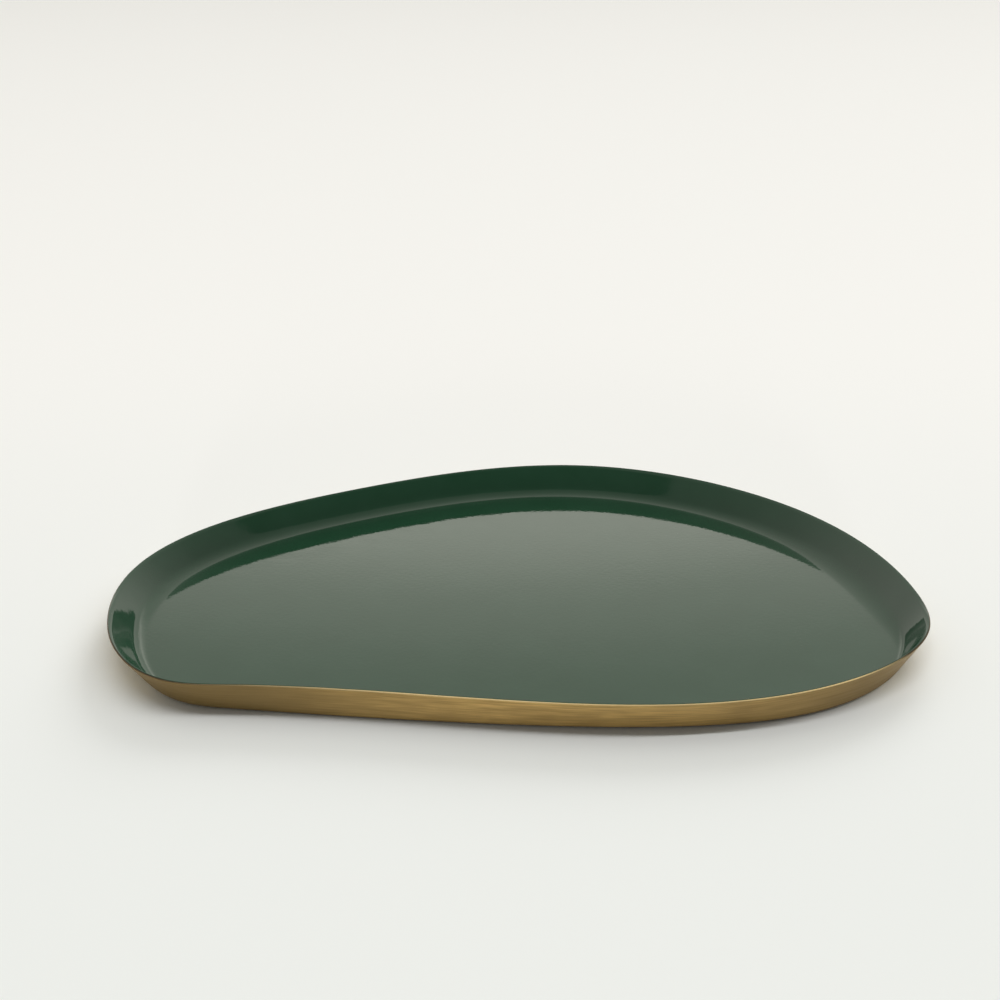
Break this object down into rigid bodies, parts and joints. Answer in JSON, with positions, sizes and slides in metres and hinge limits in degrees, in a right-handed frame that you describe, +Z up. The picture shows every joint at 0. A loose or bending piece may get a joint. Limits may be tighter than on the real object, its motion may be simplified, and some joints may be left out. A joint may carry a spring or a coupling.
{
  "type": "serving tray",
  "caption": "Shallow pebble-shaped serving tray: satin brass-finished pressed sheet outside, glossy dark green enamel inside, low flared wall and a flat base to stand on.",
  "frame": {"origin": "middle of the tray's box, on the surface that it stands on", "axes": "+X along the tray's length, +Y towards its arched back side, +Z up out of the tray"},
  "size_m": [0.4, 0.2828, 0.0165],
  "materials": {
    "satin_brass": "satin, brushed along the wall",
    "green_enamel": "glossy dark green enamel"
  },
  "bodies": {
    "root": {"brass_pan": "satin_brass", "enamel_lining": "green_enamel"}
  },
  "joints": []
}
